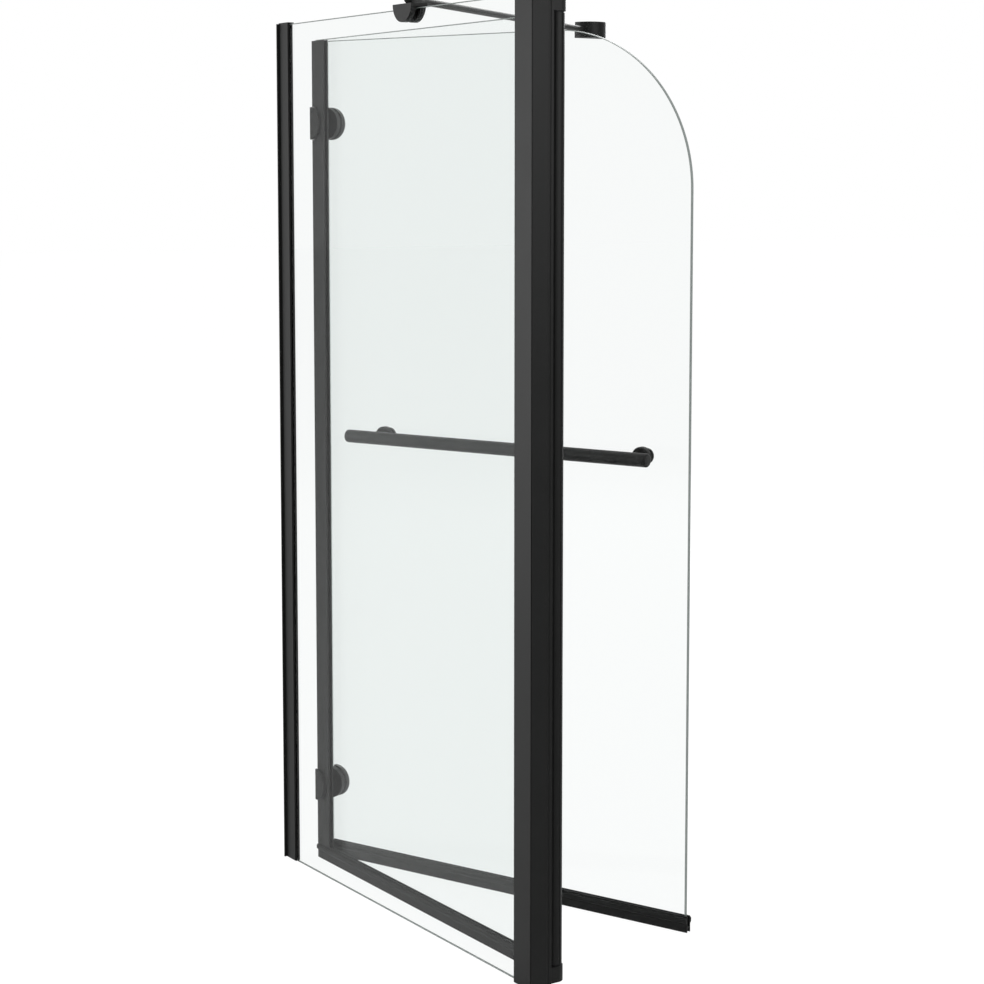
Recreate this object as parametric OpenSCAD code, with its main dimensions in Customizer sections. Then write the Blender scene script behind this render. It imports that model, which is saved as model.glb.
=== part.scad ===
// Corner shower screen with a fixed side glass and a folding door of two glass leaves.
// Millimetres, +Z up. The origin is the centre of the corner post's foot.
// +X runs along the door front, +Y runs along the side glass towards the wall.

/* [Corner post] */
// Height of the corner post, its end blocks included
post_h = 1300; // [1150:5:1500]
// Width of the post's front face
post_w = 34; // [30:1:46]
// Depth of the post, from front to back
post_d = 40; // [36:1:60]
// Wall thickness of the post's extrusion
post_wall = 2; // [1.6:0.1:3]
// Rounding of the post's long corners
post_corner_r = 1.2; // [0.5:0.1:1.8]

/* [Side glass] */
// Distance from the post's centre to the wall
side_reach = 674; // [450:2:900]
// Thickness of all the glass
glass_t = 6; // [5:0.5:6]
// Distance of the side glass's middle plane from the post's centre line
side_shift = 9; // [8:0.5:10]
// Gap between the side glass and the ground
side_foot_gap = 1; // [1:0.5:6]
// How far the side glass's top lies under the post's top
side_top_drop = 7; // [4:0.5:20]
// Thickness of the rubber on each face of a glazed edge
gasket_t = 1.1; // [0.8:0.1:1.6]
// How deep the side glass sits in the post
post_grip = 12; // [8:0.5:13]

/* [Wall profile] */
// Depth of the wall profile's channel
channel_d = 27; // [18:1:40]
// Width across the wall profile's foot
foot_w = 19; // [18:0.5:36]
// Thickness of the wall profile's foot
foot_t = 2; // [1.6:0.2:3]
// Wall thickness of the wall profile's channel
channel_wall = 1.4; // [1.2:0.1:2]
// Radius of a wall screw hole
wall_hole_r = 2.5; // [2:0.1:3]
// Distance between the two outer wall screws
outer_hole_span = 1050; // [900:10:1100]
// Distance between the two inner wall screws
inner_hole_span = 350; // [200:10:500]

/* [Door leaves] */
// Distance of the leaf pivot from the post's face
pivot_out = 15.5; // [15:0.5:24]
// Length of the inner leaf, from the pivot to the fold axis
inner_reach = 644; // [420:2:860]
// Length of the outer leaf, from the fold axis to its free edge
outer_reach = 644; // [420:2:651]
// Angle between the two leaves when the door is folded
fold_rest = 21.6; // [21:0.2:40]
// Distance of the fold axis from each leaf's middle plane
fold_offset = 13; // [12.5:0.5:16]
// How far the leaves' top edges lie under the post's top
leaf_top_drop = 30; // [28:1:60]
// Height of the leaves' bottom glass edges
leaf_foot = 10; // [8:0.5:14]
// Radius of the outer leaf's round top corner
round_r = 225; // [60:5:320]
// Gap from the fold axis to the inner leaf's glass edge
inner_edge_gap = 8; // [7:0.5:10]
// Gap from the fold axis to the outer leaf's glass edge
outer_edge_gap = 2; // [1.5:0.5:7]

/* [Pivot] */
// Radius of the pivot stile's round nose
stile_r = 12; // [11.5:0.1:13]
// How far the stile's glazing channel reaches from the pivot axis
stile_reach = 26; // [24:0.5:34]
// Wall thickness of the stile's glazing channel
stile_wall = 2; // [1.6:0.1:2.4]
// Radius of the bore at the stile's core
stile_bore_r = 8; // [7:0.1:8.4]
// Radius of the pivot blocks' round ends
block_r = 13.3; // [12.5:0.1:14]
// Height of the pivot blocks
block_h = 21.5; // [18:0.5:26]
// Gap between a pivot block and the stile, where the bush's collar runs
pivot_gap = 2; // [1.5:0.1:3]
// Radius of the pivot pins
pivot_pin_r = 4; // [3:0.1:5]
// Length of pin inside the block, and inside the stile
pivot_pin_grip = 14; // [10:1:15]
// Running clearance round every pin
run_fit = 0.05; // [0.02:0.01:0.1]

/* [Seals] */
// Height of the drip seals
drip_h = 23.5; // [20:0.5:28]
// Gap between the drip seals and the ground
drip_gap = 2; // [1:0.5:4]
// Wall of the drip seal beside the glass
drip_wall = 1.8; // [1.2:0.1:2.4]
// How far the outer drip seal runs past the free edge of the outer leaf
drip_overrun = 4; // [0:0.5:6]
// Radius of the drip seal's bead
bead_r = 3.2; // [2.6:0.1:3.6]
// Width of the closing strip on the inner leaf's free edge
strip_w = 36; // [20:1:38]
// Wall of the closing strip beside the glass
strip_wall = 2.4; // [1.4:0.1:2.6]
// How far the closing strip's nose stays from the fold axis
strip_nose_gap = 0.7; // [0.5:0.1:3]

/* [Fold hinges] */
// Radius of the half-round hinge plates
plate_r = 24.5; // [22:0.5:30]
// Gap from the fold axis to the straight side of a cover plate
plate_gap = 3; // [2:0.5:6]
// Length of the plates' straight part, in front of their half-round
plate_flat = 2; // [0:0.5:5]
// Gap from the fold axis to the straight side of a knuckle plate
knuckle_gap = 7.5; // [7:0.5:9]
// Thickness of a plate on the fold side
knuckle_plate_t = 6.5; // [5:0.5:6.5]
// Thickness of a plate on the outer side
cover_t = 7; // [5:0.5:9]
// Thickness of the pads between the plates and the glass
pad_t = 1; // [0.6:0.1:1.2]
// Radius of the hinge barrel
barrel_r = 5.5; // [5:0.1:6]
// Radius of the hinge pin
hinge_pin_r = 2.5; // [2:0.1:3]
// Wall of the bush round the hinge pin
hinge_bush_t = 1; // [0.6:0.1:1.2]
// Height of the middle knuckle
knuckle_h = 16; // [12:1:20]
// Height of the lower hinge's middle
lower_hinge_z = 120; // [90:5:300]
// Distance of the upper hinge's middle from the leaves' top edges
upper_hinge_drop = 125; // [80:1:260]

/* [Towel rail] */
// Height of the towel rail
rail_z = 674; // [500:2:900]
// Radius of the towel rail
rail_r = 9.75; // [8:0.25:10]
// Wall thickness of the towel rail's tube
rail_wall = 1.2; // [1:0.1:2]
// Distance of the rail's middle from the outer leaf's middle plane
rail_off = 42; // [36:0.5:42]
// Distance of the rail's first tip from the fold axis
rail_start = 72; // [65:1:120]
// Distance of the rail's second tip from the outer leaf's free edge
rail_free_gap = 43; // [30:1:150]
// Overhang of the rail past its first post
rail_lead = 44; // [30:1:80]
// Overhang of the rail past its second post
rail_tail = 31; // [24:1:80]
// Radius of a rail post
rail_post_r = 6; // [5:0.5:7]
// Radius of the flange between a post and the glass
rail_flange_r = 14; // [12:0.5:16]
// Thickness of the flange between a post and the glass
rail_flange_t = 10; // [4:0.5:12]
// Radius of the discs on the glass's other face
rail_disc_r = 11.5; // [9:0.5:12]
// Thickness of the discs on the glass's other face
rail_disc_t = 4; // [3:0.5:6]

/* [Brace] */
// Distance of the brace's clamp from the post's centre
clamp_y = 293; // [220:2:500]
// Radius of the half-round clamp
clamp_r = 25; // [22:0.5:30]
// Thickness of the clamp, across the glass
clamp_t = 26; // [22:0.5:34]
// Rise of the clamp's flat top over the side glass
clamp_rise = 6; // [5:0.5:10]
// Distance of the wall bracket from the post's centre line
bracket_x = 560; // [300:2:800]
// Radius of the half-round wall bracket
bracket_r = 28; // [26:0.5:34]
// Height of the wall bracket
bracket_h = 26; // [22:0.5:32]
// Radius of the brace rod
rod_r = 5; // [4:0.25:6]
// Wall of the swivel sleeve round the rod
sleeve_wall = 1.5; // [1.2:0.1:3]
// Length of the swivel sleeve in front of the clamp's middle
sleeve_len = 38; // [30:1:60]
// Distance of the rod's end from the wall plate's middle
rod_end_gap = 20; // [18:1:24]
// Radius of the wall plate inside the bracket
wall_plate_r = 9; // [7.5:0.5:9.5]
// Thickness of the wall plate inside the bracket
wall_plate_t = 4; // [3:0.5:6]

/* [Hidden] */
$fn = 64;

// Small amount by which a cut runs past the face that it opens
past = 1;
// Gap between faces that almost touch on pieces that move apart
near = 0.3;
// Clearance between a seated piece and its pocket
seat_fit = 0.05;

black = [0.09, 0.09, 0.09];
rubber = [0.06, 0.06, 0.06];
steel = [0.62, 0.63, 0.65];
nylon = [0.16, 0.16, 0.17];
glass = [0.80, 0.88, 0.86, 0.35];

half_glass = glass_t / 2;
slot_half = half_glass + gasket_t;

// Side glass and wall profile
side_x = -side_shift;
side_top = post_h - side_top_drop;
side_start = post_d / 2 - post_grip;
channel_half = slot_half + channel_wall;
channel_mouth = side_reach - foot_t - channel_d;
// Room left behind the side glass, for a wall that is out of true
glass_wall_gap = 6;
side_end = side_reach - foot_t - glass_wall_gap;
profile_foot = 2;
profile_rise = 1;
profile_top = side_top + profile_rise;
cap_t = 1.5;
holes_mid = (profile_foot + profile_top) / 2;

// Glazing channel at the post's back, and the screw ports inside the post
port_bore_r = 1.9;
port_wall = 1.6;
port_r = port_bore_r + port_wall;
// Metal between a screw port's bore and the post's hollow wall
port_edge = 0.6;
port_x = post_w / 2 - post_wall - port_bore_r - port_edge;
port_inset = 1;
port_y = post_d / 2 - post_wall - port_r - port_inset;
cap_plate_t = 3;
screw_head_t = 1.6;
plug_depth = 12;
plug_fit = 0.2;
hollow_floor = side_start - 2 * post_wall;

// Pivot axis and the leaves' heights
pivot_x = post_w / 2 + pivot_out;
leaf_top = post_h - leaf_top_drop;
stile_top = leaf_top;
stile_foot = block_h + pivot_gap;
top_block_z = stile_top + pivot_gap;
collar_t = pivot_gap - near;
collar_inset = 1;
collar_r = stile_r - collar_inset;
bush_floor = 4;
stile_web = 4;
stile_slot_start = stile_bore_r + stile_web;
stile_rubber_t = 0.5;
stile_half = half_glass + stile_rubber_t + stile_wall;
// Room between the inner glass and the pivot blocks' round ends
block_clearance = 1.7;
inner_glass_start = block_r + block_clearance;
inner_glass_end = inner_reach - inner_edge_gap;
strip_end = inner_reach - strip_nose_gap;
strip_top_drop = 1.5;
nose_r = 1;

// Drip seals
bead_drop = 1.5;
bead_sink = 0.6;
lip_tip = 1.6;
lip_root = 2.6;
lip_drop = 2;

// Fold hinges
fold_x = pivot_x + fold_offset;
upper_hinge_z = leaf_top - upper_hinge_drop;
hinge_heights = [lower_hinge_z, upper_hinge_z];
near_face = fold_offset - half_glass;
far_face = fold_offset + half_glass;
knuckle_plate_n = near_face - pad_t - knuckle_plate_t;
cover_n = far_face + pad_t;
hinge_screw_inset = 9;
hinge_screw_u = knuckle_gap + hinge_screw_inset;
hinge_screw_z = 11;
hinge_screw_r = 2.5;
hinge_head_r = 4.5;
hinge_head_t = 3;
hinge_head_sink = 0.4;
glass_hole_r = 5;
// Metal left under the screws' blind holes, and the room at each screw's tip
cover_skin = 2;
tip_room = 0.5;
// The web between plate and barrel: how far it runs under the plate, and its set-back from the pad
web_lap = 3;
web_inset = 0.5;
ear_drop = 1.5;
ear_h = plate_r - ear_drop - knuckle_h / 2 - near;
hinge_pin_half = plate_r - ear_drop + tip_room;

// Towel rail on the outer leaf
rail_n = fold_offset - rail_off;
rail_end = outer_reach - rail_free_gap;
rail_post_u = [rail_start + rail_lead, rail_end - rail_tail];
rail_cap_len = rail_r;
rail_plug_len = 8;
washer_t = 1;
rail_screw_r = 2;
rail_screw_grip = 2;
rail_hole_r = 4;
disc_skin = 1;

// Brace
clamp_top = side_top + clamp_rise;
sleeve_r = rod_r + sleeve_wall;
sleeve_lift = 0.1;
rod_z = clamp_top + sleeve_r + sleeve_lift;
brace_dx = bracket_x - side_x;
brace_dy = side_reach - clamp_y;
brace_len = sqrt(brace_dx * brace_dx + brace_dy * brace_dy);
brace_turn = atan2(brace_dy, brace_dx);
clamp_pad_t = 1.5;
clamp_slot_half = half_glass + clamp_pad_t;
clamp_screw_r = 3;
clamp_screw_y = 10;
clamp_screw_drop = 16;
clamp_screw_sink = 1;
// How far the pads reach past the clamp's screws, below them and beside them
pad_lap_z = 2;
pad_lap_y = 1;
stud_r = 3;
stud_len = 4;
rod_start = 2;
grub_r = 2;
grub_sink = 0.3;
sleeve_taper = 12;
sleeve_back = 1;
sleeve_lip = 0.5;
bracket_grub_r = wall_plate_t / 2 - 0.4;
bracket_grub_sink = 0.5;
screw_room = 5;

// Frames of the two leaves. In both, x runs along the leaf and y is square to the glass.
module on_inner_leaf() {
    translate([pivot_x, 0, 0]) rotate([0, 0, 90]) children();
}

// Fold frame of the inner leaf: x from the fold axis into the leaf, y away from the fold
module at_inner_fold() {
    on_inner_leaf() translate([inner_reach, -fold_offset, 0]) mirror([1, 0, 0]) children();
}

// Fold frame of the outer leaf, turned to the folded door's rest angle
module at_outer_fold() {
    translate([fold_x, inner_reach, 0]) rotate([0, 0, fold_rest - 90]) children();
}

// Frame of the brace: x along the rod, from the clamp's middle
module on_brace() {
    translate([side_x, clamp_y, rod_z]) rotate([0, 0, brace_turn]) children();
}

// Extrudes a section along x: the section's x becomes y and its y becomes z
module along_x(from, to) {
    translate([from, 0, 0]) rotate([90, 0, 90]) linear_extrude(to - from) children();
}

// Cylinder along y, from one place to another
module rod_y(r, from, to) {
    translate([0, from, 0]) rotate([-90, 0, 0]) cylinder(r = r, h = to - from);
}

// Cylinder along x, from one place to another
module rod_x(r, from, to) {
    translate([from, 0, 0]) rotate([0, 90, 0]) cylinder(r = r, h = to - from);
}

// Rectangle with true round corners
module round_rect(w, d, r) {
    square([w - 2 * r, d], center = true);
    square([w, d - 2 * r], center = true);
    for (sx = [-1, 1], sy = [-1, 1]) {
        translate([sx * (w / 2 - r), sy * (d / 2 - r)]) circle(r = r, $fn = 32);
    }
}

// Half disc on the positive x side
module half_disc(r) {
    intersection() {
        circle(r = r, $fn = 96);
        translate([0, -r]) square([r, 2 * r]);
    }
}

// Hollow of the post, with a cell beside the glazing channel
module post_hollow_2d() {
    inner_w = post_w - 2 * post_wall;
    channel_side = side_x + slot_half + post_wall;
    back = post_d / 2 - post_wall;
    difference() {
        union() {
            translate([-inner_w / 2, -back]) square([inner_w, back + hollow_floor]);
            translate([channel_side, -back]) square([inner_w / 2 - channel_side, 2 * back]);
        }
        for (side = [-1, 1]) {
            translate([port_x, side * port_y]) circle(r = port_r);
        }
    }
}

module corner_post() {
    color(black)
    translate([0, 0, cap_plate_t])
    linear_extrude(post_h - 2 * cap_plate_t)
    difference() {
        round_rect(post_w, post_d, post_corner_r);
        post_hollow_2d();
        translate([side_x - slot_half, side_start - post_wall])
            square([2 * slot_half, post_grip + post_wall + past]);
        for (side = [-1, 1]) {
            translate([port_x, side * port_y]) circle(r = port_bore_r);
        }
    }
}

// Arm of a pivot block: straight sides and a round end about the pivot axis
module block_arm_2d() {
    translate([0, -block_r]) square([pivot_x, 2 * block_r]);
    translate([pivot_x, 0]) circle(r = block_r, $fn = 96);
}

// Cast end block: a cap plate over the post's end, a plug inside it and the pivot arm
module pivot_block(height) {
    plug_x = post_w / 2 - post_wall - plug_fit;
    plug_y = post_d / 2 - post_wall - plug_fit;
    difference() {
        union() {
            linear_extrude(cap_plate_t) round_rect(post_w, post_d, post_corner_r);
            linear_extrude(cap_plate_t) block_arm_2d();
            linear_extrude(height) difference() {
                block_arm_2d();
                translate([-post_w / 2, -post_d / 2]) square([post_w + near, post_d]);
            }
            translate([-plug_x, -plug_y, 0])
                linear_extrude(cap_plate_t + plug_depth)
                square([plug_x + port_x - port_r - plug_fit, plug_y + hollow_floor - plug_fit]);
        }
        translate([pivot_x, 0, height - pivot_pin_grip])
            cylinder(r = pivot_pin_r + seat_fit, h = pivot_pin_grip + past);
        for (side = [-1, 1]) {
            translate([port_x, side * port_y, -past])
                cylinder(r = port_bore_r + plug_fit, h = cap_plate_t + 2 * past);
            translate([port_x, side * port_y, -past])
                cylinder(r = port_r, h = past + screw_head_t);
        }
    }
}

module top_pivot_block() {
    color(black)
    translate([0, 0, post_h]) mirror([0, 0, 1]) pivot_block(post_h - top_block_z);
}

// The foot's cap plate is slotted, because the side glass runs down through it
module bottom_pivot_block() {
    color(black)
    difference() {
        pivot_block(block_h);
        translate([side_x - slot_half, side_start - near, -past])
            cube([2 * slot_half, post_grip + near + past, cap_plate_t + 2 * past]);
    }
}

// Pan-head screws that hold the end blocks in the post's screw ports
module pivot_block_screws() {
    color(steel)
    for (end = [0, 1], side = [-1, 1]) {
        translate([port_x, side * port_y, end * post_h]) mirror([0, 0, end])
            union() {
                cylinder(r = port_r - plug_fit, h = screw_head_t);
                cylinder(r = port_bore_r - seat_fit, h = cap_plate_t + plug_depth);
            }
    }
}

module bottom_pivot_pin() {
    color(steel)
    translate([pivot_x, 0, block_h - pivot_pin_grip])
        cylinder(r = pivot_pin_r, h = 2 * pivot_pin_grip);
}

module top_pivot_pin() {
    color(steel)
    translate([pivot_x, 0, top_block_z - pivot_pin_grip])
        cylinder(r = pivot_pin_r, h = 2 * pivot_pin_grip);
}

module post_gaskets() {
    color(rubber)
    for (side = [-1, 1]) {
        translate([side_x + side * (half_glass + gasket_t / 2), side_start + post_grip / 2, 0])
        translate([-gasket_t / 2, -post_grip / 2, side_foot_gap])
            cube([gasket_t, post_grip, side_top - side_foot_gap]);
    }
}

module side_glass() {
    color(glass)
    translate([side_x - half_glass, side_start, side_foot_gap])
        cube([glass_t, side_end - side_start, side_top - side_foot_gap]);
}

module wall_profile() {
    color(black)
    difference() {
        union() {
            translate([side_x - foot_w / 2, side_reach - foot_t, profile_foot])
                cube([foot_w, foot_t, profile_top - profile_foot]);
            translate([side_x - channel_half, channel_mouth, profile_foot])
                cube([2 * channel_half, channel_d + foot_t, profile_top - profile_foot]);
        }
        translate([side_x - slot_half, channel_mouth - past, profile_foot - past])
            cube([2 * slot_half, channel_d + past, profile_top - profile_foot + 2 * past]);
        for (span = [outer_hole_span, inner_hole_span], side = [-1, 1]) {
            translate([side_x, 0, holes_mid + side * span / 2])
                rod_y(wall_hole_r, side_reach - foot_t - past, side_reach + past);
        }
    }
}

module wall_profile_cap() {
    color(black)
    translate([side_x - channel_half, channel_mouth, profile_top])
        cube([2 * channel_half, channel_d + foot_t, cap_t]);
}

module wall_gaskets() {
    color(rubber)
    for (side = [-1, 1]) {
        translate([side_x + side * (half_glass + gasket_t / 2) - gasket_t / 2,
                channel_mouth, side_foot_gap])
            cube([gasket_t, side_end - channel_mouth, side_top - side_foot_gap]);
    }
}

module brace_clamp() {
    color(black)
    difference() {
        translate([side_x - clamp_t / 2, clamp_y, clamp_top])
            rotate([0, 90, 0]) linear_extrude(clamp_t) half_disc(clamp_r);
        translate([side_x - clamp_slot_half, clamp_y - clamp_r - past, clamp_top - clamp_r - past])
            cube([2 * clamp_slot_half, 2 * (clamp_r + past),
                clamp_r + past - clamp_rise + clamp_pad_t]);
        translate([side_x, clamp_y, clamp_top - stud_len])
            cylinder(r = stud_r + seat_fit, h = stud_len + past);
        for (side = [-1, 1]) {
            translate([side_x, clamp_y + side * clamp_screw_y, clamp_top - clamp_screw_drop])
                rod_x(clamp_screw_r + seat_fit, half_glass, clamp_t / 2 + past);
        }
    }
}

// Two rubber pads on the glass and one on its edge, inside the clamp
module brace_clamp_pads() {
    pad_h = clamp_screw_drop - clamp_rise + clamp_screw_r + pad_lap_z;
    pad_half = clamp_screw_y + clamp_screw_r + pad_lap_y;
    color(rubber)
    for (side = [-1, 1]) {
        translate([side_x + side * (half_glass + clamp_pad_t / 2) - clamp_pad_t / 2,
                clamp_y - pad_half, side_top - pad_h])
            cube([clamp_pad_t, 2 * pad_half, pad_h + clamp_pad_t]);
    }
    color(rubber)
    translate([side_x - half_glass, clamp_y - pad_half, side_top])
        cube([glass_t, 2 * pad_half, clamp_pad_t]);
}

module brace_clamp_screws() {
    color(steel)
    for (side = [-1, 1]) {
        translate([side_x, clamp_y + side * clamp_screw_y, clamp_top - clamp_screw_drop])
            rod_x(clamp_screw_r, clamp_slot_half, clamp_t / 2 - clamp_screw_sink);
    }
}

// Swivel sleeve on the clamp: a round socket that tapers down to the rod
module brace_swivel() {
    color(black)
    difference() {
        union() {
            on_brace() rod_x(sleeve_r, -sleeve_r - sleeve_back, sleeve_len - sleeve_taper);
            on_brace() translate([sleeve_len - sleeve_taper, 0, 0]) rotate([0, 90, 0])
                cylinder(r1 = sleeve_r, r2 = rod_r + sleeve_lip, h = sleeve_taper);
            translate([side_x, clamp_y, clamp_top - stud_len])
                cylinder(r = stud_r, h = stud_len + sleeve_r);
        }
        on_brace() rod_x(rod_r + seat_fit, rod_start, sleeve_len + past);
        on_brace() translate([sleeve_len / 2, 0, 0])
            cylinder(r = grub_r + seat_fit, h = sleeve_r + past);
    }
}

module brace_swivel_screw() {
    color(steel)
    on_brace() translate([sleeve_len / 2, 0, rod_r])
        cylinder(r = grub_r, h = sleeve_wall - grub_sink);
}

module brace_rod() {
    color(black)
    on_brace() rod_x(rod_r, rod_start + seat_fit, brace_len - rod_end_gap);
}

module brace_wall_bracket() {
    color(black)
    difference() {
        translate([bracket_x, side_reach, rod_z - bracket_h / 2]) rotate([0, 0, -90])
            linear_extrude(bracket_h) half_disc(bracket_r);
        on_brace()
            rod_x(rod_r + seat_fit, brace_len - bracket_r - 2 * rod_r, brace_len - rod_end_gap);
        translate([bracket_x, 0, rod_z])
            rod_y(wall_plate_r + seat_fit, side_reach - wall_plate_t, side_reach + past);
        translate([bracket_x, 0, rod_z])
            rod_y(wall_hole_r * 2, side_reach - wall_plate_t - screw_room, side_reach);
        translate([bracket_x, side_reach - wall_plate_t / 2, rod_z - bracket_h / 2 - past])
            cylinder(r = bracket_grub_r + seat_fit, h = bracket_h / 2 - wall_plate_r + past);
    }
}

module brace_wall_plate() {
    color(steel)
    difference() {
        translate([bracket_x, 0, rod_z]) rod_y(wall_plate_r, side_reach - wall_plate_t, side_reach);
        translate([bracket_x, 0, rod_z])
            rod_y(wall_hole_r, side_reach - wall_plate_t - past, side_reach + past);
    }
}

module brace_bracket_screw() {
    color(steel)
    translate([bracket_x, side_reach - wall_plate_t / 2, rod_z - bracket_h / 2 + bracket_grub_sink])
        cylinder(r = bracket_grub_r, h = bracket_h / 2 - wall_plate_r - bracket_grub_sink);
}

// Round-nosed pivot extrusion, with a bore for the bushes and a glazing channel
module pivot_stile() {
    color(black)
    on_inner_leaf()
    translate([0, 0, stile_foot])
    linear_extrude(stile_top - stile_foot)
    difference() {
        union() {
            circle(r = stile_r, $fn = 96);
            translate([0, -stile_half]) square([stile_reach, 2 * stile_half]);
        }
        circle(r = stile_bore_r);
        translate([stile_slot_start, -(stile_half - stile_wall)])
            square([stile_reach - stile_slot_start + past, 2 * (stile_half - stile_wall)]);
    }
}

module stile_gaskets() {
    color(rubber)
    on_inner_leaf()
    for (side = [-1, 1]) {
        translate([inner_glass_start,
                side * (half_glass + stile_rubber_t / 2) - stile_rubber_t / 2, stile_foot])
            cube([stile_reach - inner_glass_start, stile_rubber_t, stile_top - stile_foot]);
    }
}

// Flanged bush: a sleeve in the stile's bore and a collar that runs on the block
module pivot_bush() {
    difference() {
        union() {
            cylinder(r = stile_bore_r - seat_fit, h = pivot_pin_grip + bush_floor);
            translate([0, 0, -collar_t]) cylinder(r = collar_r, h = collar_t);
        }
        translate([0, 0, -collar_t - past])
            cylinder(r = pivot_pin_r + run_fit, h = collar_t + pivot_pin_grip + past);
    }
}

module bottom_pivot_bush() {
    color(nylon)
    translate([pivot_x, 0, stile_foot]) pivot_bush();
}

module top_pivot_bush() {
    color(nylon)
    translate([pivot_x, 0, stile_top]) mirror([0, 0, 1]) pivot_bush();
}

// Holes for the two screws of one hinge plate, in the fold frame
module hinge_screw_holes(r, from, to) {
    for (side = [-1, 1]) {
        translate([hinge_screw_u, 0, side * hinge_screw_z]) rod_y(r, from, to);
    }
}

module inner_glass() {
    color(glass)
    difference() {
        on_inner_leaf() translate([inner_glass_start, -half_glass, leaf_foot])
            cube([inner_glass_end - inner_glass_start, glass_t, leaf_top - leaf_foot]);
        for (z = hinge_heights) {
            at_inner_fold() translate([0, 0, z])
                hinge_screw_holes(glass_hole_r, near_face - past, far_face + past);
        }
    }
}

// Section of a drip seal: a grip on the glass, a bead on each side and two lips below
module drip_section() {
    grip = half_glass + drip_wall;
    top = drip_gap + drip_h;
    bead_z = top - bead_r - bead_drop;
    lip_top = leaf_foot - lip_drop;
    difference() {
        union() {
            translate([-grip, lip_top]) square([2 * grip, top - lip_top]);
            for (side = [-1, 1]) {
                translate([side * (grip - bead_sink), bead_z]) circle(r = bead_r, $fn = 32);
            }
            for (side = [-1, 1]) {
                polygon([[side * grip, lip_top], [side * grip, drip_gap],
                    [side * (grip - lip_tip), drip_gap], [side * (grip - lip_root), lip_top]]);
            }
        }
        translate([-half_glass, leaf_foot]) square([glass_t, top]);
    }
}

module inner_drip_seal() {
    color(rubber)
    on_inner_leaf() along_x(stile_reach + near, strip_end) drip_section();
}

// Closing strip: a channel over the glass edge with a rounded nose
module inner_closing_strip() {
    color(black)
    difference() {
        on_inner_leaf()
            translate([0, 0, drip_gap + drip_h])
            linear_extrude(leaf_top - strip_top_drop - drip_gap - drip_h)
            strip_section();
        for (z = hinge_heights) {
            at_inner_fold() translate([0, 0, z]) hinge_notch();
        }
    }
}

// Section of the closing strip, in plan
module strip_section() {
    half = half_glass + strip_wall;
    difference() {
        union() {
            translate([strip_end - strip_w, -half]) square([strip_w - nose_r, 2 * half]);
            translate([strip_end - 2 * nose_r, nose_r - half])
                square([2 * nose_r, 2 * (half - nose_r)]);
            for (side = [-1, 1]) {
                translate([strip_end - nose_r, side * (half - nose_r)]) circle(r = nose_r, $fn = 32);
            }
        }
        translate([strip_end - strip_w - past, -half_glass])
            square([inner_glass_end - strip_end + strip_w + past, glass_t]);
    }
}

// Room for a hinge where it crosses the closing strip, in the fold frame
module hinge_notch() {
    r = plate_r + near;
    translate([0, fold_offset + strip_w, 0]) rotate([90, 0, 0]) linear_extrude(2 * strip_w) {
        translate([plate_gap + plate_flat, 0]) half_disc(r);
        translate([-past, -r]) square([plate_gap + plate_flat + past, 2 * r]);
    }
}

// Half-round plate square to the glass, in the fold frame, cut off at a gap from the axis
module hinge_plate_solid(from, to, gap) {
    translate([0, to, 0]) rotate([90, 0, 0]) linear_extrude(to - from) intersection() {
        union() {
            translate([plate_gap + plate_flat, 0]) half_disc(plate_r);
            translate([plate_gap, -plate_r]) square([plate_flat, 2 * plate_r]);
        }
        translate([gap, -plate_r]) square([2 * plate_r, 2 * plate_r]);
    }
}

// Web that carries a knuckle from its plate, in plan
module knuckle_plan() {
    side = barrel_r * cos(45);
    web_far = knuckle_plate_n + knuckle_plate_t - web_inset;
    circle(r = barrel_r);
    polygon([
        [-side, side],
        [side, -side],
        [knuckle_gap + web_lap, knuckle_plate_n],
        [knuckle_gap + web_lap, web_far],
        [knuckle_gap, web_far]
    ]);
}

// Inner hinge plate with an ear above and below the middle knuckle
module inner_hinge_plate(z) {
    color(black)
    at_inner_fold() translate([0, 0, z])
    difference() {
        union() {
            hinge_plate_solid(knuckle_plate_n, near_face - pad_t, knuckle_gap);
            for (side = [0, 1]) {
                mirror([0, 0, side]) translate([0, 0, knuckle_h / 2 + near])
                    linear_extrude(ear_h) knuckle_plan();
            }
        }
        translate([0, 0, -plate_r - past])
            cylinder(r = hinge_pin_r + seat_fit, h = 2 * (plate_r + past));
        hinge_screw_holes(hinge_screw_r + seat_fit, knuckle_plate_n - past, near_face);
        hinge_screw_holes(hinge_head_r + seat_fit, knuckle_plate_n - past,
            knuckle_plate_n + hinge_head_t);
    }
}

// Outer hinge plate with the middle knuckle, bored for the bush
module outer_hinge_plate(z) {
    color(black)
    at_outer_fold() translate([0, 0, z])
    difference() {
        union() {
            hinge_plate_solid(knuckle_plate_n, near_face - pad_t, knuckle_gap);
            translate([0, 0, -knuckle_h / 2]) linear_extrude(knuckle_h) knuckle_plan();
        }
        translate([0, 0, -knuckle_h / 2 - past])
            cylinder(r = hinge_pin_r + hinge_bush_t + seat_fit, h = knuckle_h + 2 * past);
        hinge_screw_holes(hinge_screw_r + seat_fit, knuckle_plate_n - past, near_face);
        hinge_screw_holes(hinge_head_r + seat_fit, knuckle_plate_n - past,
            knuckle_plate_n + hinge_head_t);
    }
}

// Cover plate on the glass's other face, with blind holes for the screws
module hinge_cover(z) {
    color(black)
    translate([0, 0, z])
    difference() {
        hinge_plate_solid(cover_n, cover_n + cover_t, plate_gap);
        hinge_screw_holes(hinge_screw_r + seat_fit, cover_n - past, cover_n + cover_t - cover_skin);
    }
}

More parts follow.
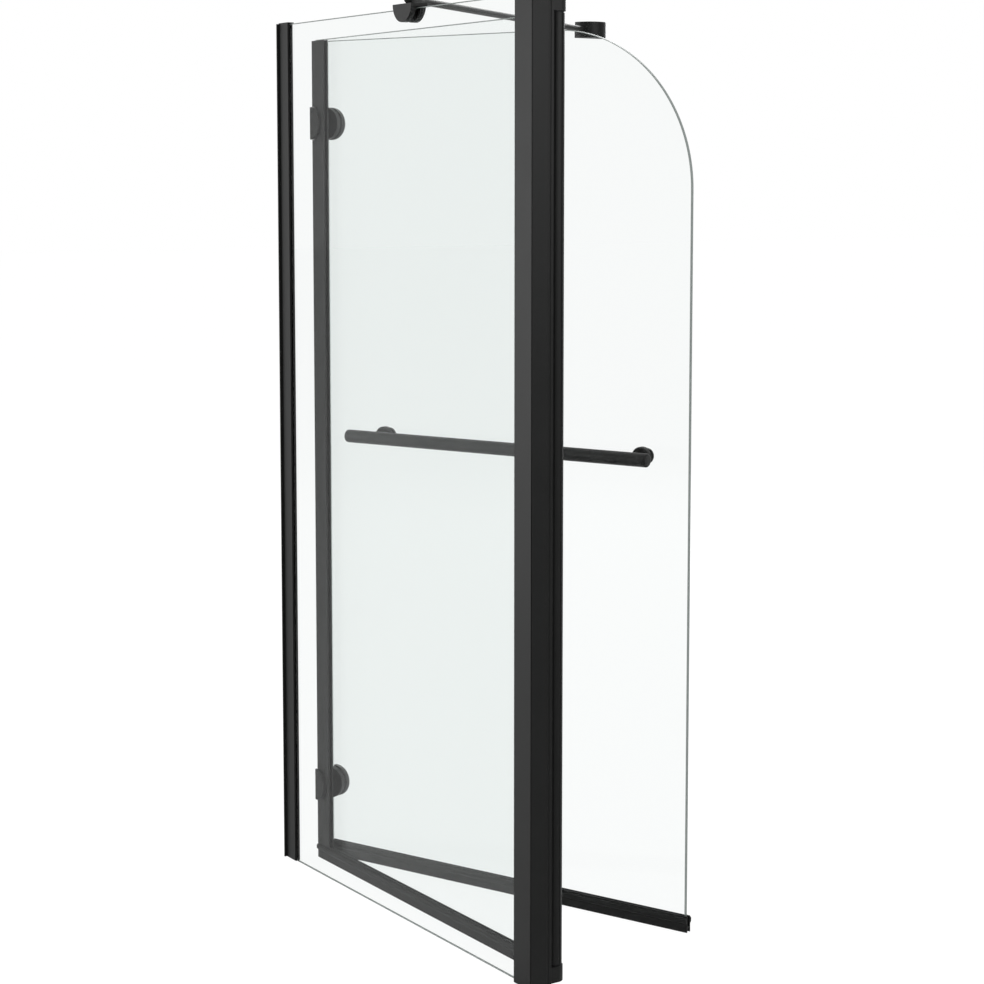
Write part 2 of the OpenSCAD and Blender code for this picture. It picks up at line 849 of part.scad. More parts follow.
// Pads on both faces of the glass under the plates of one hinge
module hinge_pads(z) {
    color(rubber)
    translate([0, 0, z])
    difference() {
        union() {
            hinge_plate_solid(near_face - pad_t, near_face, inner_edge_gap);
            hinge_plate_solid(far_face, cover_n, inner_edge_gap);
        }
        hinge_screw_holes(hinge_screw_r + seat_fit, near_face - pad_t - past, cover_n + past);
    }
}

// Screws of one hinge half, with heads sunk in the fold-side plate
module hinge_screws(z) {
    color(steel)
    translate([0, 0, z])
    for (side = [-1, 1]) {
        translate([hinge_screw_u, 0, side * hinge_screw_z]) union() {
            rod_y(hinge_head_r, knuckle_plate_n + hinge_head_sink, knuckle_plate_n + hinge_head_t);
            rod_y(hinge_screw_r, knuckle_plate_n + hinge_head_t,
                cover_n + cover_t - cover_skin - tip_room);
        }
    }
}

module upper_inner_hinge_plate() {
    inner_hinge_plate(upper_hinge_z);
}

module lower_inner_hinge_plate() {
    inner_hinge_plate(lower_hinge_z);
}

module upper_outer_hinge_plate() {
    outer_hinge_plate(upper_hinge_z);
}

module lower_outer_hinge_plate() {
    outer_hinge_plate(lower_hinge_z);
}

module upper_inner_hinge_cover() {
    at_inner_fold() hinge_cover(upper_hinge_z);
}

module lower_inner_hinge_cover() {
    at_inner_fold() hinge_cover(lower_hinge_z);
}

module upper_outer_hinge_cover() {
    at_outer_fold() hinge_cover(upper_hinge_z);
}

module lower_outer_hinge_cover() {
    at_outer_fold() hinge_cover(lower_hinge_z);
}

module inner_hinge_pads() {
    for (z = hinge_heights) {
        at_inner_fold() hinge_pads(z);
    }
}

module outer_hinge_pads() {
    for (z = hinge_heights) {
        at_outer_fold() hinge_pads(z);
    }
}

module inner_hinge_screws() {
    for (z = hinge_heights) {
        at_inner_fold() hinge_screws(z);
    }
}

module outer_hinge_screws() {
    for (z = hinge_heights) {
        at_outer_fold() hinge_screws(z);
    }
}

// Pin through both ears of one hinge
module hinge_pin(z) {
    color(steel)
    translate([fold_x, inner_reach, z - hinge_pin_half])
        cylinder(r = hinge_pin_r, h = 2 * hinge_pin_half);
}

module upper_hinge_pin() {
    hinge_pin(upper_hinge_z);
}

module lower_hinge_pin() {
    hinge_pin(lower_hinge_z);
}

module hinge_bushes() {
    color(nylon)
    for (z = hinge_heights) {
        translate([fold_x, inner_reach, z - knuckle_h / 2]) difference() {
            cylinder(r = hinge_pin_r + hinge_bush_t, h = knuckle_h);
            translate([0, 0, -past]) cylinder(r = hinge_pin_r + run_fit, h = knuckle_h + 2 * past);
        }
    }
}

// Outline of the outer glass: square but for the large round corner at its free top
module outer_glass_2d() {
    width = outer_reach - outer_edge_gap;
    height = leaf_top - leaf_foot;
    translate([outer_edge_gap, leaf_foot]) {
        square([width - round_r, height]);
        square([width, height - round_r]);
        translate([width - round_r, height - round_r]) circle(r = round_r, $fn = 180);
    }
}

module outer_glass() {
    color(glass)
    at_outer_fold()
    difference() {
        translate([0, far_face, 0]) rotate([90, 0, 0]) linear_extrude(glass_t) outer_glass_2d();
        for (z = hinge_heights) {
            translate([0, 0, z]) hinge_screw_holes(glass_hole_r, near_face - past, far_face + past);
        }
        for (u = rail_post_u) {
            translate([u, 0, rail_z]) rod_y(rail_hole_r, near_face - past, far_face + past);
        }
    }
}

module outer_drip_seal() {
    color(rubber)
    at_outer_fold() translate([0, fold_offset, 0])
        along_x(outer_edge_gap, outer_reach + drip_overrun) drip_section();
}

// Straight tube of the towel rail, between its two end caps
module towel_rail() {
    color(black)
    at_outer_fold() translate([0, rail_n, rail_z])
    difference() {
        rod_x(rail_r, rail_start + rail_cap_len, rail_end - rail_cap_len);
        rod_x(rail_r - rail_wall, rail_start, rail_end);
        for (u = rail_post_u) {
            translate([u, 0, 0]) rod_y(rail_screw_r + seat_fit, 0, rail_r + past);
        }
    }
}

// Domed caps with a plug inside the tube
module towel_rail_end_caps() {
    color(black)
    for (end = [0, 1]) {
        at_outer_fold() translate([end == 0 ? rail_start : rail_end, rail_n, rail_z])
            mirror([end, 0, 0])
            union() {
                intersection() {
                    translate([rail_r, 0, 0]) sphere(r = rail_r);
                    translate([0, -rail_r, -rail_r]) cube([rail_cap_len, 2 * rail_r, 2 * rail_r]);
                }
                rod_x(rail_r - rail_wall - seat_fit, rail_cap_len, rail_cap_len + rail_plug_len);
            }
    }
}

// Posts between the rail and the glass, scooped to the rail's round
module towel_rail_posts() {
    color(black)
    at_outer_fold() translate([0, 0, rail_z])
    for (u = rail_post_u) {
        difference() {
            union() {
                translate([u, 0, 0]) rod_y(rail_post_r, rail_n + rail_r / 2, near_face - washer_t);
                translate([u, 0, 0])
                    rod_y(rail_flange_r, near_face - washer_t - rail_flange_t, near_face - washer_t);
            }
            translate([0, rail_n, 0]) rod_x(rail_r + seat_fit, u - rail_r * 2, u + rail_r * 2);
            translate([u, 0, 0]) rod_y(rail_screw_r + seat_fit, rail_n, near_face);
        }
    }
}

module towel_rail_washers() {
    color(rubber)
    at_outer_fold() translate([0, 0, rail_z])
    for (u = rail_post_u) {
        difference() {
            union() {
                translate([u, 0, 0]) rod_y(rail_disc_r, near_face - washer_t, near_face);
                translate([u, 0, 0]) rod_y(rail_disc_r, far_face, far_face + washer_t);
            }
            translate([u, 0, 0])
                rod_y(rail_screw_r + seat_fit, near_face - 2 * washer_t, far_face + 2 * washer_t);
        }
    }
}

module towel_rail_back_discs() {
    color(black)
    at_outer_fold() translate([0, far_face + washer_t, rail_z])
    for (u = rail_post_u) {
        difference() {
            translate([u, 0, 0]) rod_y(rail_disc_r, 0, rail_disc_t);
            translate([u, 0, 0]) rod_y(rail_screw_r + seat_fit, -past, rail_disc_t - disc_skin);
        }
    }
}

// Threaded studs that tie the rail, the posts and the back discs together
module towel_rail_screws() {
    color(steel)
    at_outer_fold() translate([0, 0, rail_z])
    for (u = rail_post_u) {
        translate([u, 0, 0])
            rod_y(rail_screw_r, rail_n + rail_r - rail_wall - rail_screw_grip,
                far_face + washer_t + rail_disc_t - disc_skin - tip_room);
    }
}

corner_post();
top_pivot_block();
bottom_pivot_block();
pivot_block_screws();
top_pivot_pin();
bottom_pivot_pin();
post_gaskets();
side_glass();
wall_profile();
wall_profile_cap();
wall_gaskets();
brace_clamp();
brace_clamp_pads();
brace_clamp_screws();
brace_swivel();
brace_swivel_screw();
brace_rod();
brace_wall_bracket();
brace_wall_plate();
brace_bracket_screw();
pivot_stile();
stile_gaskets();
top_pivot_bush();
bottom_pivot_bush();
inner_glass();
inner_drip_seal();
inner_closing_strip();
upper_inner_hinge_plate();
upper_inner_hinge_cover();
lower_inner_hinge_plate();
lower_inner_hinge_cover();
inner_hinge_pads();
inner_hinge_screws();
upper_hinge_pin();
lower_hinge_pin();
outer_glass();
outer_drip_seal();
upper_outer_hinge_plate();
upper_outer_hinge_cover();
lower_outer_hinge_plate();
lower_outer_hinge_cover();
outer_hinge_pads();
outer_hinge_screws();
hinge_bushes();
towel_rail();
towel_rail_end_caps();
towel_rail_posts();
towel_rail_washers();
towel_rail_back_discs();
towel_rail_screws();
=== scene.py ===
import math

import bmesh
import bpy
from mathutils import Matrix, Vector


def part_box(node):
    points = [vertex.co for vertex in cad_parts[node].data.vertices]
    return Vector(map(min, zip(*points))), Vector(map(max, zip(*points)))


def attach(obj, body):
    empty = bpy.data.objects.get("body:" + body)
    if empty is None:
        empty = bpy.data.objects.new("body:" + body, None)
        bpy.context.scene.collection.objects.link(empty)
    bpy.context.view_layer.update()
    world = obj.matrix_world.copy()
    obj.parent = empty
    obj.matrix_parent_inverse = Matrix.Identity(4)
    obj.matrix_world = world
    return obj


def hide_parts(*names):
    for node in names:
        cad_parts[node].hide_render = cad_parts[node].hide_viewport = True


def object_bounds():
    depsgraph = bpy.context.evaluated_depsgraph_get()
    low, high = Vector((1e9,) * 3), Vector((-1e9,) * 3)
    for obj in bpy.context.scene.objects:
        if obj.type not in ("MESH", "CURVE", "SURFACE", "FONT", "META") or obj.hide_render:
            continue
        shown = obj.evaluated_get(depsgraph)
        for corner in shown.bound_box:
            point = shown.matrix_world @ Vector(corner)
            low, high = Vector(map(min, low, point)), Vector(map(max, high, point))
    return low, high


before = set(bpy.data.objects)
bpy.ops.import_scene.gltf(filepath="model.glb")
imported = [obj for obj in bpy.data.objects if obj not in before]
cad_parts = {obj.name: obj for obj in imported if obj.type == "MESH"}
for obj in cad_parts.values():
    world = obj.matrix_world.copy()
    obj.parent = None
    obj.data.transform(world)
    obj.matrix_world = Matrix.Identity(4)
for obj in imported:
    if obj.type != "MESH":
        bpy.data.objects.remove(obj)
cad_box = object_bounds()

# Studio. A pale seamless floor and backdrop, soft lamps at the left, in front, behind and above,
# and the camera a metre above the floor and three metres off, with a long lens.
mm = 0.001
white = (1, 1, 1, 1)


class Signal:
    """A node's output, on which Python's signs work."""

    def __init__(self, tree, socket):
        self.tree, self.socket = tree, socket

    def other(self, name):
        """Another output of the same node."""
        return Signal(self.tree, self.socket.node.outputs[name])

    def maths(self, operation, *values):
        return node(self.tree, "Math", {"operation": operation}, dict(enumerate(values)))

    def __add__(self, other):
        return self.maths("ADD", self, other)

    __radd__ = __add__

    def __mul__(self, other):
        return self.maths("MULTIPLY", self, other)

    __rmul__ = __mul__

    def __sub__(self, other):
        return self.maths("SUBTRACT", self, other)

    def __rsub__(self, other):
        return self.maths("SUBTRACT", other, self)


def node(tree, kind, settings=(), values=(), out=0):
    """A shader node with its settings, then the values or links of its sockets."""
    made = tree.nodes.new("ShaderNode" + kind)
    for name, setting in dict(settings).items():
        setattr(made, name, setting)
    for name, value in dict(values).items():
        if isinstance(value, Signal):
            tree.links.new(value.socket, made.inputs[name])
        else:
            made.inputs[name].default_value = value
    return Signal(tree, made.outputs[out]) if len(made.outputs) else None


def seen_rays(tree):
    """Masks of the rays that show a thing to the camera: straight, through glass and mirrored."""
    straight = node(tree, "LightPath", out="Is Camera Ray")
    through = straight.other("Is Transmission Ray")
    return straight, through, straight.other("Is Glossy Ray") * (1 - through)


def front_to_back(tree, spot, front_y, back_y, front, back):
    """A level that rises between two places along y, from a front value to a back value."""
    y = node(tree, "SeparateXYZ", (), {"Vector": spot}, out="Y")
    return node(tree, "MapRange", (), {
        "Value": y, "From Min": front_y, "From Max": back_y, "To Min": front, "To Max": back})


# The backdrop is light behind the object and darker at the studio's front, where the camera
# stands. The two slopes are those of a mirrored ray, between its level and the wall's direction.
backdrop_light = 0.5
backdrop_front, backdrop_back = 0.15, 1.0
front_slope, back_slope = -0.7, 0.4

world = bpy.data.worlds.new("studio")
world.use_nodes = True
sky = world.node_tree
sky.nodes.clear()
straight, through, mirrored = seen_rays(sky)
shown = straight + through
studio = front_to_back(sky, node(sky, "TexCoord", out="Generated"), front_slope, back_slope,
                       backdrop_front, backdrop_back)
light = shown + (1 - shown) * (mirrored * studio + (1 - mirrored) * backdrop_light)
backdrop = node(sky, "Background", (), {"Color": white, "Strength": light})
node(sky, "OutputWorld", (), {"Surface": backdrop})
bpy.context.scene.world = world
bpy.context.scene.view_settings.view_transform = "Standard"


def bare_material(name):
    """A material whose tree holds no more than the object's own coordinates."""
    material = bpy.data.materials.new(name)
    material.use_nodes = True
    tree = material.node_tree
    tree.nodes.clear()
    return material, tree, node(tree, "TexCoord", out="Object")


# The floor is part lit paint, which keeps the object's shadow, and part even glow. Both the share
# of the glow and its strength go by the ray: seen straight, seen through glass, or mirrored.
floor_half = 30
floor_drop = 0.2
floor_tone = (0.9, 0.9, 0.9, 1)
share_straight, share_through, share_mirrored = 0.85, 0.97, 0.8
glow_straight, glow_through = 1.1, 1.017
glow_front, glow_back = 0.1, 0.75
glow_front_y, glow_back_y = -0.25, 0.12

floor_mesh = bpy.data.meshes.new("floor")
bm = bmesh.new()
bmesh.ops.create_grid(bm, x_segments=2, y_segments=2, size=floor_half)
bm.to_mesh(floor_mesh)
bm.free()
floor = bpy.data.objects.new("floor", floor_mesh)
floor.location.z = cad_box[0][2] - floor_drop * mm
bpy.context.scene.collection.objects.link(floor)

floor_paint, tree, spot = bare_material("floor_paint")
straight, through, mirrored = seen_rays(tree)
glow_mirrored = front_to_back(tree, spot, glow_front_y, glow_back_y, glow_front, glow_back)
strength = (glow_through + straight * (glow_straight - glow_through)
            + mirrored * (glow_mirrored - glow_through))
share = straight * share_straight + through * share_through + mirrored * share_mirrored
paint = node(tree, "BsdfDiffuse", (), {"Color": floor_tone})
glow = node(tree, "Emission", (), {"Color": white, "Strength": strength})
node(tree, "OutputMaterial", (), {"Surface": node(tree, "MixShader", (), {0: share, 1: paint, 2: glow})})
floor_mesh.materials.append(floor_paint)


def softbox(name, place, target, width, height, power):
    """A lamp of a size in metres, turned to a target, which neither camera nor glass shows."""
    lamp = bpy.data.lights.new(name, "AREA")
    lamp.shape = "RECTANGLE"
    lamp.size, lamp.size_y, lamp.energy = width, height, power
    holder = bpy.data.objects.new(name, lamp)
    holder.location = place
    aim = Vector(target) - Vector(place)
    holder.rotation_euler = aim.to_track_quat("-Z", "Y").to_euler()
    holder.visible_camera = False
    holder.visible_transmission = False
    bpy.context.scene.collection.objects.link(holder)


softbox("left_softbox", (-3.2, 2.9, 0.7), (0, 0.3, 0.5), width=2.0, height=2.4, power=74)
softbox("front_softbox", (0.8, -2.2, 1.5), (0.1, 0, 1.1), width=2.0, height=0.8, power=22)
softbox("back_softbox", (3.0, 3.4, 2.4), (0, 0.2, 0.7), width=2.4, height=2.4, power=90)
softbox("top_softbox", (0.2, 0.3, 4.2), (0, 0.3, 0), width=2.4, height=2.4, power=60)

# The lens shift is small, and the camera looks down instead, so that no other view is cut
focal_length, sensor, shift_up = 81.485, 36, -0.08
camera_place = (-1589.1, -2373.3, 1053.2)
look_down, look_right = 5.873, 32.733

lens = bpy.data.cameras.new("camera")
lens.lens, lens.sensor_width, lens.shift_y = focal_length, sensor, shift_up
lens.clip_end = 200
camera = bpy.data.objects.new("camera", lens)
camera.location = Vector(camera_place) * mm
camera.rotation_euler = (math.radians(90 - look_down), 0, math.radians(-look_right))
bpy.context.scene.collection.objects.link(camera)
bpy.context.scene.camera = camera


# Corner post. An aluminium extrusion, powder coated satin black: a front cover strip clipped
# between two lips, and a glazing channel at the back for the side glass.


def box_mm(node_name):
    """A CAD node's lowest and highest corners at rest, in mm."""
    return [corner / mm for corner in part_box(node_name)]


post_low, post_high = box_mm("corner_post")
post_x, post_y = post_high.x, post_high.y
glazing_left, glazing_right = (corner.x for corner in box_mm("post_gaskets"))
glazing_floor = 6
lip_groove, lip_depth = (-16.85, -15.9), 2.0
cover_groove, cover_depth = (9.7, 13.1), 0.8
mouth_round, front_round, back_round = 0.3, 0.4, 1.2
# Points nearer than touch are one point, and a height within level is the same height
touch, level = 0.002 * mm, 0.01 * mm
crease = math.radians(38)


def noise(tree, spot, size, detail=2.0, stretch=(1, 1, 1)):
    """Soft noise of a real grain size in mm, stretched along an axis where asked."""
    mapped = node(tree, "Mapping", (), {"Vector": spot, "Scale": tuple(
        part / (size * mm) for part in stretch)})
    return node(tree, "TexNoise", (), {
        "Vector": mapped, "Scale": 1.0, "Detail": detail, "Roughness": 0.55})


def shade(tree, mask, dark, light):
    """A colour between two by a mask: a Mix node's colours are its sockets 6 and 7, and output 2."""
    return node(tree, "Mix", {"data_type": "RGBA"}, {
        0: mask, 6: (*dark, 1), 7: (*light, 1)}, out=2)


def around(middle, mask, spread):
    """A level that a mask moves from half the spread under its middle to half above it."""
    return mask * spread + (middle - spread / 2)


def surface(tree, values):
    """Ends a material's tree with its shader, from the values or links of its sockets."""
    node(tree, "OutputMaterial", (), {"Surface": node(tree, "BsdfPrincipled", (), values)})


def coated_metal(name, dark, light, rough, grain=0.35, lift=0.02):
    """Powder coat: the fine orange peel of the cured powder and a slight unevenness in sheen."""
    material, tree, spot = bare_material(name)
    peel = noise(tree, spot, grain, 3.0)
    cloud = noise(tree, spot, 60)
    surface(tree, {
        "Base Color": shade(tree, cloud, dark, light),
        "Roughness": around(rough, cloud, 0.08) + peel * 0.04,
        "Normal": node(tree, "Bump", (), {"Strength": 0.25, "Distance": lift * mm, "Height": peel}),
        "Specular IOR Level": 0.16})
    return material


black_coat = coated_metal(
    "black_powder_coat", (0.0118, 0.0122, 0.0119), (0.0152, 0.0156, 0.0153), rough=0.4)


def section(*corners):
    """A flat face from corner points in mm. A third number rounds that corner by as much."""
    bm = bmesh.new()
    points = [bm.verts.new((corner[0] * mm, corner[1] * mm, 0)) for corner in corners]
    bm.faces.new(points)
    rounded = {}
    for point, corner in zip(points, corners):
        if len(corner) > 2:
            rounded.setdefault(corner[2], []).append(point)
    for radius, sharp in rounded.items():
        bmesh.ops.bevel(bm, geom=sharp, offset=radius * mm, offset_type="OFFSET",
                        segments=max(3, round(3 * math.sqrt(radius))), profile=0.5,
                        affect="VERTICES", material=-1)
    bmesh.ops.remove_doubles(bm, verts=bm.verts, dist=touch)
    return bm


def draw_out(bm, start, end, grown_from=None):
    """Extrudes a section, or only some of its far faces, along z between two heights in mm."""
    if grown_from is None:
        bmesh.ops.translate(bm, vec=(0, 0, start * mm), verts=bm.verts)
    grown = bmesh.ops.extrude_face_region(bm, geom=grown_from or bm.faces[:])["geom"]
    points = [part for part in grown if isinstance(part, bmesh.types.BMVert)]
    bmesh.ops.translate(bm, vec=(0, 0, (end - start) * mm), verts=points)
    if grown_from:
        # They would stay inside as a wall
        bmesh.ops.delete(bm, geom=grown_from, context="FACES_ONLY")
    return [part for part in grown if isinstance(part, bmesh.types.BMFace)]


def piece(name, bm, finish, body, slot, *nodes, place=Matrix.Identity(4)):
    """Puts a mesh in its place, as a piece that rides on a body and stands for the nodes."""
    bmesh.ops.transform(bm, matrix=place, verts=bm.verts)
    bmesh.ops.remove_doubles(bm, verts=bm.verts, dist=touch)
    bmesh.ops.recalc_face_normals(bm, faces=bm.faces)
    mesh = bpy.data.meshes.new(name)
    bm.to_mesh(mesh)
    bm.free()
    mesh.shade_smooth()
    mesh.set_sharp_from_angle(angle=crease)
    for material in finish if isinstance(finish, list) else [finish]:
        mesh.materials.append(material)
    made = bpy.data.objects.new(name, mesh)
    bpy.context.scene.collection.objects.link(made)
    normals = made.modifiers.new("face_weighted_normals", "WEIGHTED_NORMAL")
    normals.keep_sharp = True
    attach(made, body)
    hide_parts(*nodes)
    return made


post = section(
    (-post_x, -post_y), (lip_groove[0], -post_y), (lip_groove[0], -post_y + lip_depth),
    (lip_groove[1], -post_y + lip_depth), (lip_groove[1], -post_y),
    (cover_groove[0], -post_y, mouth_round), (cover_groove[0] + cover_depth, -post_y + cover_depth),
    (cover_groove[1] - cover_depth, -post_y + cover_depth), (cover_groove[1], -post_y, mouth_round),
    (post_x, -post_y, front_round), (post_x, post_y, back_round),
    (glazing_right, post_y, mouth_round), (glazing_right, glazing_floor),
    (glazing_left, glazing_floor), (glazing_left, post_y, mouth_round), (-post_x, post_y, back_round))
draw_out(post, post_low.z, post_high.z)
piece("post_extrusion", post, black_coat, "frame", "black_metal", "corner_post")


# Pivot blocks. Cast zinc ends, coated like the post: a cap over the post's end and an arm with
# a round end about the door's pivot, each held by two pan-head screws in the post's ports.


def middle(node_name):
    """The middle of a CAD node's box at rest, in mm."""
    low, high = box_mm(node_name)
    return (low + high) / 2


pivot_x = middle("bottom_pivot_pin").x
arm_half, arm_start = 13.3, 17.3
cap_t = 3
corner_round, foot_round, head_round = 0.8, 0.9, 0.5
port_x, port_y = 12.5, 13.5
recess_r, recess_depth = 3.5, 1.6
# A face is flat when its normal points this far along z, and an edge sharp past this angle
flat_normal = 0.999
sharp_angle = math.radians(40)


def rim(bm, *heights):
    """The sharp edges that lie flat at any of the heights in mm."""
    found = []
    for edge in bm.edges:
        ends = [point.co.z for point in edge.verts]
        flat = any(max(abs(end - height * mm) for end in ends) < level for height in heights)
        if flat and len(edge.link_faces) == 2 and edge.calc_face_angle(0) > sharp_angle:
            found.append(edge)
    return found


def ease(bm, edges, width, steps=3):
    """Rounds edges by a width in mm."""
    bmesh.ops.recalc_face_normals(bm, faces=bm.faces)
    bmesh.ops.bevel(bm, geom=edges, offset=width * mm, offset_type="OFFSET", segments=steps,
                    profile=0.5, affect="EDGES", material=-1, clamp_overlap=True)


def bored(bm, height, centres, radius, depth, sides=24):
    """Sinks round holes up into the flat faces that look down at a height, with sizes in mm."""
    bmesh.ops.recalc_face_normals(bm, faces=bm.faces)
    flat = [face for face in bm.faces if face.normal.z < -flat_normal
            and abs(face.calc_center_median().z - height * mm) < level]
    border = [edge for edge in {edge for face in flat for edge in face.edges}
              if len([face for face in edge.link_faces if face in flat]) == 1]
    bmesh.ops.delete(bm, geom=flat, context="FACES")
    border = [edge for edge in border if edge.is_valid]
    rings = []
    for x, y in centres:
        ring = bmesh.ops.create_circle(bm, segments=sides, radius=radius * mm)["verts"]
        bmesh.ops.translate(bm, vec=(x * mm, y * mm, height * mm), verts=ring)
        rings.append(list({edge for point in ring for edge in point.link_edges}))
    bmesh.ops.triangle_fill(bm, use_beauty=True, normal=(0, 0, -1),
                            edges=border + [edge for ring in rings for edge in ring])
    for ring in rings:
        grown = bmesh.ops.extrude_edge_only(bm, edges=ring)["geom"]
        points = [part for part in grown if isinstance(part, bmesh.types.BMVert)]
        bmesh.ops.translate(bm, vec=(0, 0, depth * mm), verts=points)
        bmesh.ops.edgeloop_fill(bm, edges=[part for part in grown if isinstance(
            part, bmesh.types.BMEdge) and all(point in points for point in part.verts)])


def add(bm, other, matrix=Matrix.Identity(4)):
    """Joins another mesh into a piece, placed by a matrix."""
    bmesh.ops.transform(other, matrix=matrix, verts=other.verts)
    spare = bpy.data.meshes.new("part")
    other.to_mesh(spare)
    other.free()
    bm.from_mesh(spare)
    bpy.data.meshes.remove(spare)


def pivot_block(height):
    """A block the foot way up, its foot at z 0."""
    bm = section((-post_x, -post_y), (post_x, -post_y, corner_round), (post_x, -arm_half),
                 (arm_start, -arm_half), (arm_start, arm_half), (post_x, arm_half),
                 (post_x, post_y, back_round), (-post_x, post_y, back_round))
    add(bm, section((arm_start, -arm_half), (pivot_x + arm_half, -arm_half, arm_half),
                    (pivot_x + arm_half, arm_half, arm_half), (arm_start, arm_half)))
    bmesh.ops.remove_doubles(bm, verts=bm.verts, dist=touch)
    far = draw_out(bm, 0, cap_t)
    draw_out(bm, cap_t, height, [face for face in far if face.calc_center_median().x > post_x * mm])
    bmesh.ops.recalc_face_normals(bm, faces=bm.faces)
    ease(bm, rim(bm, 0), foot_round)
    ease(bm, rim(bm, height), head_round, 2)
    bored(bm, 0, [(port_x, -port_y), (port_x, port_y)], recess_r, recess_depth)
    return bm


block_low, block_high = box_mm("bottom_pivot_block")
piece("bottom_block", pivot_block(block_high.z - block_low.z), black_coat, "frame", "black_metal",
      "bottom_pivot_block")
block_low, block_high = box_mm("top_pivot_block")
upside_down = Matrix.Translation((0, 0, block_high.z * mm)) @ Matrix.Scale(-1, 4, (0, 0, 1))
piece("top_block", pivot_block(block_high.z - block_low.z), black_coat, "frame", "black_metal",
      "top_pivot_block", place=upside_down)


def bright_steel(name, dark, light, rough):
    """Turned stainless steel: fine rings of the tool and a soft unevenness in its sheen."""
    material, tree, spot = bare_material(name)
    lines = noise(tree, spot, 0.4, stretch=(1, 1, 6))
    surface(tree, {
        "Base Color": shade(tree, lines, dark, light),
        "Roughness": around(rough, lines, 0.14),
        "Metallic": 1.0})
    return material


def dress(finish, *node_names):
    """Gives a finish to CAD nodes that show as they are."""
    for node_name in node_names:
        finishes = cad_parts[node_name].data.materials
        finishes.clear()
        finishes.append(finish)


screw_steel = bright_steel("blackened_screw_steel", (0.258, 0.258, 0.2666), (0.30, 0.30, 0.31), rough=0.38)
dress(screw_steel, "pivot_block_screws", "top_pivot_pin", "bottom_pivot_pin")

# Side glass. One pane of 6 mm toughened glass, its edges ground with a small arris all round,
# held by rubber in the post's channel and in the wall profile.
glass_low, glass_high = box_mm("side_glass")
side_x = middle("side_glass").x
glass_t = 6
arris = 1.1
bead_proud, bead_round = 1, 0.5


def clear_pane(name):
    """Toughened float glass, all but colourless, with the faint green of its iron."""
    material, tree, spot = bare_material(name)
    cloud = noise(tree, spot, 400, 1.0)
    surface(tree, {
        "Base Color": shade(tree, cloud, (0.934, 0.950, 0.945), (0.938, 0.954, 0.949)),
        "Transmission Weight": 1.0, "Roughness": 0.0, "IOR": 1.15})
    return material


def ground_edge(name, dark, light, clear):
    """An edge clouded by the grinding wheel, grey green, and more or less see-through. With pale colours
    it is painted light on an edge that lies in shade.
    """
    material, tree, spot = bare_material(name)
    streaks = noise(tree, spot, 3.0, 3.0)
    surface(tree, {
        "Base Color": shade(tree, streaks, dark, light),
        "Roughness": around(0.35, streaks, 0.2),
        "Transmission Weight": clear, "IOR": 1.3})
    return material


pane_glass = clear_pane("toughened_glass")
edge_glass = ground_edge("ground_glass_edge", (0.13, 0.15, 0.142), (0.21, 0.235, 0.225), clear=0.25)


def pane(*corners):
    """A pane laid flat, with the arris ground all round it and its edges marked as ground."""
    bm = section(*corners)
    draw_out(bm, 0, glass_t)
    ease(bm, rim(bm, 0, glass_t), arris, 1)
    bmesh.ops.recalc_face_normals(bm, faces=bm.faces)
    for face in bm.faces:
        face.material_index = 0 if abs(face.normal.z) > flat_normal else 1
    return bm


def glaze(name, bm, body, node_name, place, *more_finishes):
    """Sets a pane in its place. Clear glass lets the lamps through to what stands behind it."""
    finishes = [pane_glass, edge_glass, *more_finishes]
    made = piece(name, bm, finishes, body, "clear_glass", node_name, place=place)
    made.visible_shadow = False


def beside_post(x):
    """Stands a section up along the side glass: its x runs along y, and its depth along x."""
    return Matrix(((0, 0, 1, x * mm), (1, 0, 0, 0), (0, 1, 0, 0), (0, 0, 0, 1)))


side_pane = pane((glass_low.y, glass_low.z), (glass_high.y, glass_low.z),
                 (glass_high.y, glass_high.z), (glass_low.y, glass_high.z))
glaze("side_pane", side_pane, "frame", "side_glass", beside_post(glass_low.x))


def soft_black(name, dark, light, rough, stretch=(1, 1, 1)):
    """Extruded black rubber or vinyl with faint lines along its run."""
    material, tree, spot = bare_material(name)
    lines = noise(tree, spot, 1.2, 3.0, stretch)
    surface(tree, {
        "Base Color": shade(tree, lines, dark, light),
        "Roughness": around(rough, lines, 0.12),
        "Normal": node(tree, "Bump", (), {"Strength": 0.3, "Distance": 0.03 * mm, "Height": lines}),
        "Specular IOR Level": 0.14})
    return material


glazing_rubber = soft_black("glazing_rubber", (0.011, 0.011, 0.011), (0.016, 0.016, 0.016), rough=0.6,
                            stretch=(1, 1, 0.02))


def glazing_beads(floor_y, lip_y):
    """Two strips of rubber, one on each face of the side glass, with a round lip at the mouth."""
    bm = bmesh.new()
    for inner, outer in ((glass_low.x, glazing_left), (glass_high.x, glazing_right)):
        strip = section((inner, floor_y), (inner, lip_y, bead_round), (outer, lip_y, bead_round),
                        (outer, floor_y))
        draw_out(strip, glass_low.z, glass_high.z)
        add(bm, strip)
    return bm


piece("post_glazing_beads", glazing_beads(glass_low.y, post_y + bead_proud), glazing_rubber, "frame",
      "black_rubber", "post_gaskets")

# Wall profile. A black channel extrusion screwed to the wall through its foot, with rubber on
# both faces of the side glass and a moulded cap pushed on its top.
wall_low, wall_high = box_mm("wall_profile")
cap_low, cap_high = box_mm("wall_profile_cap")
mouth_y, wall_y = wall_low.y, wall_high.y
foot_t = 2
foot_y = wall_y - foot_t
channel_round, cap_corner, cap_round = 0.5, 0.8, 0.6
wall_screw_r = 2.5
wall_screw_heights = (123, 473, 823, 1173)


